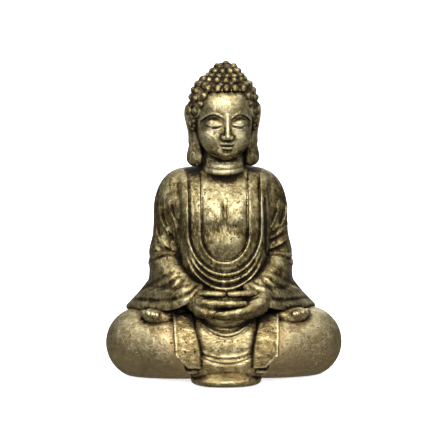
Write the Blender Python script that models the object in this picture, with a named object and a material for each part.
"""Seated Buddha statue, built as a sectional casting: a hollow robed body, with separate castings pinned on.

The figure sits on Z = 0 and faces -Y. Its left side is at +X. The origin is under the middle of the figure.
Lengths in the tables are millimetres, with Y counted from the spine's axis; add_object moves them to metres
from the origin.
"""
import math

import bmesh
import bpy
from mathutils import Vector

MM = 0.001

# Driving dimensions
HEIGHT = 400.0          # floor to the tip of the topknot
WIDTH = 300.0           # across the knees
DEPTH_SHIFT = 12.0      # the spine's axis lies this far behind the middle of the depth
FELT = 1.3              # felt sheet under the figure
CAST_FOOT = 1.6         # underside of the castings: the felt and a glue line
WALL = 10.0             # wall of the hollow body
JOINT_LINE = 0.5        # gap between neighbouring castings
DOWEL_CLEARANCE = 0.35  # radial room round a dowel
PLATE_TOP = 7.0         # top of the plate that closes the hollow body
PLATE_ROOM = 0.6        # gap over the plate, in its recess
HOLLOW_TOP = 205.0      # where the hollow of the body ends
HOLLOW_TAPER = 0.7      # how much the hollow narrows at its end

KNEE_RADIUS = 42.0
KNEE_X = WIDTH / 2 - KNEE_RADIUS
NECK_TOP, NECK_FOOT = 288.0, 259.0
CHIN_Z = 279.0
HAIRLINE_Z = 350.0
CHEST_X = 2.0           # the open chest lies this far to the left of the spine
BAND_TOP = 245.0        # where the robe's edges run into the shoulders
UNDER = -4.0            # a cut that opens the underside starts here
BELOW = -90.0           # deep enough to take away all that hangs below the floor

RING_POINTS = 28


def clear_scene():
    for item in list(bpy.data.objects):
        bpy.data.objects.remove(item, do_unlink=True)


def material(name, colour, roughness, metallic):
    made = bpy.data.materials.new(name)
    made.use_nodes = True
    shader = made.node_tree.nodes["Principled BSDF"]
    shader.inputs["Base Color"].default_value = (*colour, 1.0)
    shader.inputs["Roughness"].default_value = roughness
    shader.inputs["Metallic"].default_value = metallic
    made.diffuse_color = (*colour, 1.0)
    return made


def add_object(name, bm, finish=None, smooth=True):
    """The mesh as an object in metres, its origin at the middle of its box."""
    bmesh.ops.triangulate(bm, faces=bm.faces)
    bmesh.ops.recalc_face_normals(bm, faces=bm.faces)
    if bm.calc_volume(signed=True) < 0:
        bmesh.ops.reverse_faces(bm, faces=bm.faces)
    mesh = bpy.data.meshes.new(name)
    corners = [v.co.copy() for v in bm.verts]
    low = Vector([min(c[i] for c in corners) for i in range(3)])
    high = Vector([max(c[i] for c in corners) for i in range(3)])
    middle = (low + high) / 2
    for vertex in bm.verts:
        vertex.co = (vertex.co - middle) * MM
    bm.to_mesh(mesh)
    bm.free()
    made = bpy.data.objects.new(name, mesh)
    made.location = (middle + Vector((0, DEPTH_SHIFT, 0))) * MM
    bpy.context.scene.collection.objects.link(made)
    if smooth:
        mesh.shade_smooth()
        mesh.set_sharp_from_angle(angle=math.radians(40))
    if finish:
        mesh.materials.append(finish)
    return made


def superellipse(angle, power):
    """A point of the unit superellipse."""
    c, s = math.cos(angle), math.sin(angle)
    return (
        math.copysign(abs(c) ** (2 / power), c),
        math.copysign(abs(s) ** (2 / power), s),
    )


def loft_mesh(sections, power=2.3, centre_x=0.0, points=RING_POINTS, bump=None):
    """Stacked rings (z, half width, front y, back y), closed by flat caps. bump(angle, z) scales a ring."""
    bm = bmesh.new()
    rings = []
    for z, half_width, front, back in sections:
        ring = []
        middle, half_depth = (front + back) / 2, (back - front) / 2
        for i in range(points):
            angle = 2 * math.pi * i / points
            x, y = superellipse(angle, power)
            swell = bump(angle, z) if bump else 1.0
            point = (centre_x + half_width * x * swell, middle + half_depth * y * swell, z)
            ring.append(bm.verts.new(point))
        rings.append(ring)
    for lower, upper in zip(rings, rings[1:]):
        for i in range(points):
            j = (i + 1) % points
            bm.faces.new((lower[i], lower[j], upper[j], upper[i]))
    bm.faces.new(list(reversed(rings[0])))
    bm.faces.new(rings[-1])
    return bm


def ball_points(centre, radius, segments=10, rings=6):
    bm = bmesh.new()
    bmesh.ops.create_uvsphere(bm, u_segments=segments, v_segments=rings, radius=radius)
    found = [Vector(centre) + v.co for v in bm.verts]
    bm.free()
    return found


def hull_mesh(balls, segments=10, rings=6):
    """The convex skin round balls (x, y, z, radius)."""
    bm = bmesh.new()
    for x, y, z, radius in balls:
        for point in ball_points((x, y, z), radius, segments, rings):
            bm.verts.new(point)
    skin = bmesh.ops.convex_hull(bm, input=list(bm.verts), use_existing_faces=False)
    inside = {e for e in skin["geom_interior"] + skin["geom_unused"] if isinstance(e, bmesh.types.BMVert)}
    bmesh.ops.delete(bm, geom=list(inside), context="VERTS")
    return bm


def cylinder_mesh(start, end, radius, sides=12):
    """A round bar from start to end."""
    start, end = Vector(start), Vector(end)
    bm = bmesh.new()
    bmesh.ops.create_cone(
        bm, cap_ends=True, segments=sides, radius1=radius, radius2=radius, depth=(end - start).length
    )
    turn = Vector((0, 0, 1)).rotation_difference(end - start).to_matrix().to_4x4()
    bmesh.ops.transform(bm, matrix=turn, verts=bm.verts)
    bmesh.ops.translate(bm, vec=(start + end) / 2, verts=bm.verts)
    return bm


def tube_mesh(path, sides=10):
    """A tube through points (x, y, z, radius), each ring square to the path, with flat ends."""
    bm = bmesh.new()
    centres = [Vector(row[:3]) for row in path]
    rings = []
    for i, (centre, row) in enumerate(zip(centres, path)):
        along = centres[min(i + 1, len(path) - 1)] - centres[max(i - 1, 0)]
        turn = Vector((0, 0, 1)).rotation_difference(along)
        ring = []
        for k in range(sides):
            angle = 2 * math.pi * k / sides
            ring.append(bm.verts.new(centre + turn @ Vector((math.cos(angle), math.sin(angle), 0)) * row[3]))
        rings.append(ring)
    for lower, upper in zip(rings, rings[1:]):
        for k in range(sides):
            j = (k + 1) % sides
            bm.faces.new((lower[k], lower[j], upper[j], upper[k]))
    bm.faces.new(list(reversed(rings[0])))
    bm.faces.new(rings[-1])
    return bm


def box_mesh(low, high):
    bm = bmesh.new()
    bmesh.ops.create_cube(bm, size=1.0)
    low, high = Vector(low), Vector(high)
    bmesh.ops.scale(bm, vec=high - low, verts=bm.verts)
    bmesh.ops.translate(bm, vec=(low + high) / 2, verts=bm.verts)
    return bm


def helper(made):
    """Marks a cutter: it shapes other pieces and isn't one itself."""
    made.hide_render = True
    made.display_type = "WIRE"
    return made


FORMS = {}  # each piece's outer form before any neighbour is cut out of it


def keep_form(piece):
    """Remembers the piece's present outer form."""
    bpy.context.view_layer.update()
    graph = bpy.context.evaluated_depsgraph_get()
    mesh = bpy.data.meshes.new_from_object(piece.evaluated_get(graph))
    FORMS[piece.name] = (mesh, piece.matrix_world.copy())
    return piece


def grown_form(piece, name, grow):
    """A helper with the piece's outer form, its skin moved out by grow millimetres."""
    mesh, place = FORMS[piece.name]
    made = bpy.data.objects.new(name, mesh)
    made.matrix_world = place
    bpy.context.scene.collection.objects.link(made)
    if grow:
        swell = made.modifiers.new("swell", "DISPLACE")
        swell.direction = "NORMAL"
        swell.mid_level = 0.0
        swell.strength = grow * MM
    return helper(made)


def boolean(piece, other, operation):
    step = piece.modifiers.new(f"{operation.lower()} {other.name}", "BOOLEAN")
    step.operation = operation
    step.object = other
    step.solver = "EXACT"


def carve(piece, *neighbours, gap=JOINT_LINE):
    """Cuts the piece back from each neighbour by the joint line."""
    for other in neighbours:
        boolean(piece, grown_form(other, f"{piece.name} seat for {other.name}", gap), "DIFFERENCE")


def join(piece, *others):
    """Makes the other shapes part of the piece."""
    for other in others:
        boolean(piece, helper(other), "UNION")
    return keep_form(piece)


def mirrored(rows, side):
    """The same points on the left (side 1) or the right (side -1)."""
    return [(side * row[0], *row[1:]) for row in rows]


# ---------------------------------------------------------------- robed body

# Sections are (z, half width, front y, back y)
BODY_SECTIONS = (
    (CAST_FOOT, 86, -48, 80),
    (16, 96, -56, 88),
    (44, 96, -58, 87),
    (74, 84, -54, 78),
    (104, 66, -50, 66),
    (140, 60, -50, 61),
    (178, 63, -48, 62),
    (212, 67, -43, 62),
    (236, 66, -34, 58),
    (250, 57, -24, 50),
    (258, 48, -15, 44),
    (264, 40, -7, 39),
    (268, 33, -2, 34),
)


def shrunk(sections, wall, foot, top):
    """The same sections a wall further in, from foot to top."""
    kept = [row for row in sections if foot < row[0] < top]
    inner = [(z, half - wall, front + wall, back - wall) for z, half, front, back in kept]
    first, last = inner[0], inner[-1]
    return [(foot, *first[1:]), *inner, (top, *[HOLLOW_TAPER * value for value in last[1:]])]


def make_body(gold):
    body = keep_form(add_object("body_shell", loft_mesh(BODY_SECTIONS), gold))
    hollow = helper(add_object("body hollow", loft_mesh(shrunk(BODY_SECTIONS, WALL, UNDER, HOLLOW_TOP))))
    recess_sections = ((UNDER, 78, -40, 72), (PLATE_TOP + PLATE_ROOM, 78, -40, 72))
    recess = helper(add_object("plate recess", loft_mesh(recess_sections)))
    boolean(body, hollow, "DIFFERENCE")
    boolean(body, recess, "DIFFERENCE")
    return body


def make_base(resin, felt):
    add_object("base_plate", loft_mesh(((CAST_FOOT, 77, -39, 71), (PLATE_TOP, 77, -39, 71))), resin)
    add_object("felt_base", loft_mesh(((0.0, 82, -46, 76), (FELT, 82, -46, 76))), felt, smooth=False)


# ---------------------------------------------------------------- robe bands

def u_outline(half_width, foot, top, steps=10):
    """A U: straight sides down to a half ellipse whose lowest point is at foot."""
    drop = half_width * 1.1
    bend = foot + drop
    points = [(-half_width, top)]
    for i in range(steps + 1):
        angle = math.pi * (1 + i / steps)
        points.append((half_width * math.cos(angle), bend + drop * math.sin(angle)))
    points.append((half_width, top))
    return points


def u_band_mesh(outer, inner, centre_x, depth):
    """A U shaped strip between two U outlines (half width, foot), from front to back of depth."""
    outside = u_outline(*outer, BAND_TOP)
    inside = u_outline(*inner, BAND_TOP)
    bm = bmesh.new()
    loops = []
    for y in depth:
        loops.append([[bm.verts.new((centre_x + x, y, z)) for x, z in line] for line in (outside, inside)])
    count = len(outside)
    for (outside_row, inside_row), flip in zip(loops, (False, True)):
        for i in range(count - 1):
            quad = [outside_row[i], outside_row[i + 1], inside_row[i + 1], inside_row[i]]
            bm.faces.new(quad if flip else quad[::-1])
    for row in (0, 1):
        for i in range(count - 1):
            bm.faces.new((loops[0][row][i], loops[0][row][i + 1], loops[1][row][i + 1], loops[1][row][i]))
    for end in (0, count - 1):
        bm.faces.new((loops[0][0][end], loops[1][0][end], loops[1][1][end], loops[0][1][end]))
    return bm


BAND_DEPTH = (-80.0, -8.0)
BANDS = (
    # name, outer U, inner U, height above the chest
    ("inner_robe_band", (45.0, 137.0), (31.0, 150.0), 2.2),
    ("outer_robe_band", (57.0, 112.0), (45.6, 136.4), 4.0),
)


def make_bands(body, gold):
    for name, outer, inner, lift in BANDS:
        band = add_object(name, u_band_mesh(outer, inner, CHEST_X, BAND_DEPTH), gold)
        boolean(band, grown_form(body, f"{name} outer skin", lift), "INTERSECT")
        boolean(band, grown_form(body, f"{name} inner skin", JOINT_LINE), "DIFFERENCE")


# ---------------------------------------------------------------- legs, feet and the cloth over the lap

# Balls are (x, y, z, radius), for the left side
LEG_BALLS = (
    (50, 26, 46, 42),
    (KNEE_X, -12, 43, KNEE_RADIUS),
    (112, -14, 36, 36),
    (94, -30, 40, 42),
    (56, -56, 40, 37),
)
FOOT_BALLS = ((72, -44, 84, 8.5), (88, -48, 82, 8), (97, -42, 84, 7))


def cut_foot(piece):
    """Cuts a casting flat at the height where it stands."""
    floor = box_mesh((-WIDTH, -WIDTH, BELOW), (WIDTH, WIDTH, CAST_FOOT))
    boolean(piece, helper(add_object(f"{piece.name} floor", floor)), "DIFFERENCE")


def make_leg(side, label, gold):
    leg = keep_form(add_object(f"{label}_leg", hull_mesh(mirrored(LEG_BALLS, side), 16, 10), gold))
    cut_foot(leg)
    foot = keep_form(add_object(f"{label}_foot", hull_mesh(mirrored(FOOT_BALLS, side)), gold))
    return leg, foot


SWAG_BALLS = ((-34, -76, 82, 5), (34, -76, 82, 5), (-22, -90, 68, 5), (22, -90, 68, 5), (0, -92, 60, 5))


def make_lap(gold):
    cloth = add_object(
        "lap_cloth",
        loft_mesh(
            (
                (CAST_FOOT, 33, -94, -40),
                (18, 33, -96, -40),
                (36, 34, -96, -40),
                (56, 35, -91, -40),
                (70, 35, -84, -40),
                (76, 34, -76, -40),
            )
        ),
        gold,
    )
    swag = add_object(
        "lap_swag",
        hull_mesh(SWAG_BALLS, 8, 6),
        gold,
    )
    hem = add_object(
        "front_hem",
        loft_mesh(
            ((CAST_FOOT, 42, -109, -72), (5, 45, -112, -72), (11, 45, -112, -72), (17, 41, -106, -72)),
            power=2.2,
        ),
        gold,
    )
    return keep_form(cloth), keep_form(swag), keep_form(hem)


SASH_BALLS = ((60, -80, 92, 4), (41, -86, 94, 4), (55, -98, 42, 4), (46, -103, 30, 4), (31, -103, 30, 4))


def make_sash(side, label, gold):
    return keep_form(add_object(f"{label}_sash", hull_mesh(mirrored(SASH_BALLS, side), 8, 6), gold))


# ---------------------------------------------------------------- arms and hands

SLEEVE_BALLS = ((44, 16, 238, 24), (58, 15, 226, 27), (61, 17, 190, 24.5), (66, 17, 152, 25))
CUFF_BALLS = (
    (66, 12, 136, 24),
    (112, 2, 94, 9),
    (100, 34, 96, 9),
    (60, -62, 98, 9),
    (46, -56, 108, 12),
)
# Each hand: palm balls, finger balls, thumb balls, for the left hand; the right lies on top of it
LEFT_HAND = (
    ((42, -60, 98, 13), (28, -74, 96, 13)),
    ((26, -82, 94, 7), (-6, -90, 94, 5.5)),
    ((30, -76, 110, 6), (4.5, -84, 115, 4)),
)
RIGHT_HAND = (
    ((42, -60, 104, 13), (28, -74, 104, 12)),
    ((26, -82, 106, 6.5), (-22, -90, 106.5, 4.6)),
    ((30, -75, 114, 6), (4.5, -84, 115, 4)),
)


def make_sleeve(side, label, gold):
    upper = add_object(f"{label}_sleeve", hull_mesh(mirrored(SLEEVE_BALLS, side), 14, 8), gold)
    cuff = add_object(f"{label}_cuff", hull_mesh(mirrored(CUFF_BALLS, side), 12, 8), gold)
    return keep_form(upper), keep_form(cuff)


def make_hand(side, label, groups, gold):
    palm, fingers, thumb = [
        add_object(f"{label} hand part {i}", hull_mesh(mirrored(balls, side)))
        for i, balls in enumerate(groups)
    ]
    palm.name = f"{label}_hand"
    palm.data.materials.append(gold)
    return join(palm, fingers, thumb)


# ---------------------------------------------------------------- head

HEAD_SECTIONS = (
    (CHIN_Z, 15, -33, 4),
    (284, 23, -37, 20),
    (296, 31, -41, 30),
    (312, 35, -43, 36),
    (330, 37, -43, 39),
    (348, 36.5, -40, 40),
    (362, 31, -34, 36),
    (372, 21, -24, 26),
)
HAIR_SECTIONS = (
    (286, 34, -30, 37),
    (298, 40, -36, 42),
    (316, 43.5, -42, 45.5),
    (334, 44.5, -45, 47),
    (350, 43, -44, 46),
    (362, 37, -38, 41),
    (371, 29, -30, 33),
    (377, 20, -21, 25),
)
KNOT_SECTIONS = (
    (374, 21, -20, 24),
    (381, 19.5, -17, 22),
    (388, 16, -13, 18),
    (395, 11, -8, 13),
    (HEIGHT, 4, -1.5, 6.5),
)
CURL_RISE, KNOT_CURL_RISE = 6.0, 4.0
EAR_PATH = (
    (44.5, 5, 349, 2.5),
    (45.5, 5, 344, 5.0),
    (44.5, 5, 330, 6.0),
    (41.5, 4, 314, 5.2),
    (39.5, 2, 298, 4.6),
    (40.5, 0, 284, 5.4),
    (40.5, 0, 276, 4.6),
    (40.0, 0, 272, 2.0),
)


def curls(around, rise, depth):
    """A swell that raises staggered rows of bumps: around of them on a ring, with rise between the rows."""

    def swell(angle, z):
        phase = math.pi * round(z / rise)
        return 1.0 + depth * math.cos(around * angle + phase)

    return swell


def fill_sections(sections, step):
    """The sections again with rings in between, no further apart than step."""
    made = [sections[0]]
    for low, high in zip(sections, sections[1:]):
        count = max(1, math.ceil((high[0] - low[0]) / step))
        for i in range(1, count + 1):
            share = i / count
            made.append(tuple(a + (b - a) * share for a, b in zip(low, high)))
    return made


def make_head(gold):
    neck = add_object(
        "neck",
        loft_mesh(
            (
                (NECK_FOOT, 29, -20, 30),
                (263, 29, -21, 30),
                (265, 26.5, -19, 29),
                (269, 27, -20, 29),
                (271, 25, -18, 29),
                (NECK_TOP, 24, -16, 28),
            ),
            power=2.0,
        ),
        gold,
    )
    head = add_object("head", loft_mesh(HEAD_SECTIONS, power=2.1), gold)
    rings = fill_sections(HAIR_SECTIONS, CURL_RISE)
    swell = curls(9, CURL_RISE, 0.028)
    hair = add_object("hair_cap", loft_mesh(rings, power=2.05, points=54, bump=swell), gold)
    # The face and the forehead stay bare below the hairline
    face = helper(add_object("face opening", box_mesh((-60, -80, 200), (60, -6, HAIRLINE_Z))))
    boolean(hair, face, "DIFFERENCE")
    rings = fill_sections(KNOT_SECTIONS, KNOT_CURL_RISE)
    swell = curls(6, KNOT_CURL_RISE, 0.03)
    knot = add_object("ushnisha", loft_mesh(rings, power=2.0, points=36, bump=swell), gold)
    return keep_form(neck), keep_form(head), keep_form(hair), keep_form(knot)


def make_ear(side, label, gold):
    """A long ear: a tube from the top of the shell to the lobe."""
    path = [(side * x, y, z, radius) for x, y, z, radius in reversed(EAR_PATH)]
    return keep_form(add_object(f"{label}_ear", tube_mesh(path), gold))


# ---------------------------------------------------------------- hidden pins

def dowel(name, start, end, radius, wood):
    return keep_form(add_object(name, cylinder_mesh(start, end, radius), wood))


def drill(pin, *pieces):
    """Bores each piece for the pin."""
    for piece in pieces:
        carve(piece, pin, gap=DOWEL_CLEARANCE)


def build():
    clear_scene()
    gold = material("antique_gold", (0.42, 0.33, 0.14), 0.38, 0.9)
    resin = material("cast_resin", (0.62, 0.58, 0.50), 0.7, 0.0)
    felt = material("felt", (0.05, 0.05, 0.05), 0.95, 0.0)
    wood = material("dowel_wood", (0.62, 0.45, 0.26), 0.7, 0.0)

    body = make_body(gold)
    make_base(resin, felt)
    make_bands(body, gold)
    neck, head, hair, knot = make_head(gold)
    carve(body, neck)
    carve(head, neck)
    carve(hair, head, neck)
    carve(knot, hair, head)

    neck_dowel = dowel("neck_dowel", (0, 6, 232), (0, 6, 312), 4.0, wood)
    drill(neck_dowel, body, neck, head)
    knot_pin = dowel("ushnisha_pin", (0, 3, 362), (0, 3, 388), 2.0, wood)
    drill(knot_pin, head, hair, knot)

    cloth, swag, hem = make_lap(gold)
    carve(cloth, body)
    carve(swag, cloth)
    carve(cloth, hem)

    hands = {}
    for side, label in ((1, "left"), (-1, "right")):
        ear = make_ear(side, label, gold)
        carve(ear, head, neck)
        carve(hair, ear)

        leg, foot = make_leg(side, label, gold)
        sash = make_sash(side, label, gold)
        sleeve, cuff = make_sleeve(side, label, gold)
        hand = make_hand(side, label, LEFT_HAND if side > 0 else RIGHT_HAND, gold)

        hands[label] = hand
        arm_dowel = dowel(f"{label}_arm_dowel", (side * 42, 15, 212), (side * 66, 15, 212), 3.0, wood)
        drill(arm_dowel, body, sleeve)
        leg_dowel = dowel(f"{label}_leg_dowel", (side * 84, 6, 40), (side * 112, 6, 40), 4.0, wood)
        drill(leg_dowel, body, leg)
        wrist_pin = dowel(f"{label}_wrist_pin", (side * 40, -62, 104), (side * 56, -46, 110), 2.5, wood)
        drill(wrist_pin, hand, cuff)

        carve(sleeve, body)
        carve(cuff, sleeve, body, hand)
        carve(leg, body, cloth, hem, sash, foot, cuff)
        carve(foot, cuff)
        carve(cloth, sash)
        carve(swag, sash)
        carve(hem, sash)
        for band in ("inner_robe_band", "outer_robe_band"):
            carve(bpy.data.objects[band], sleeve, cuff)
    # The right hand lies on the left one, and both lie in the hollow of the lap
    carve(hands["left"], hands["right"])
    carve(swag, hands["left"], hands["right"])


build()
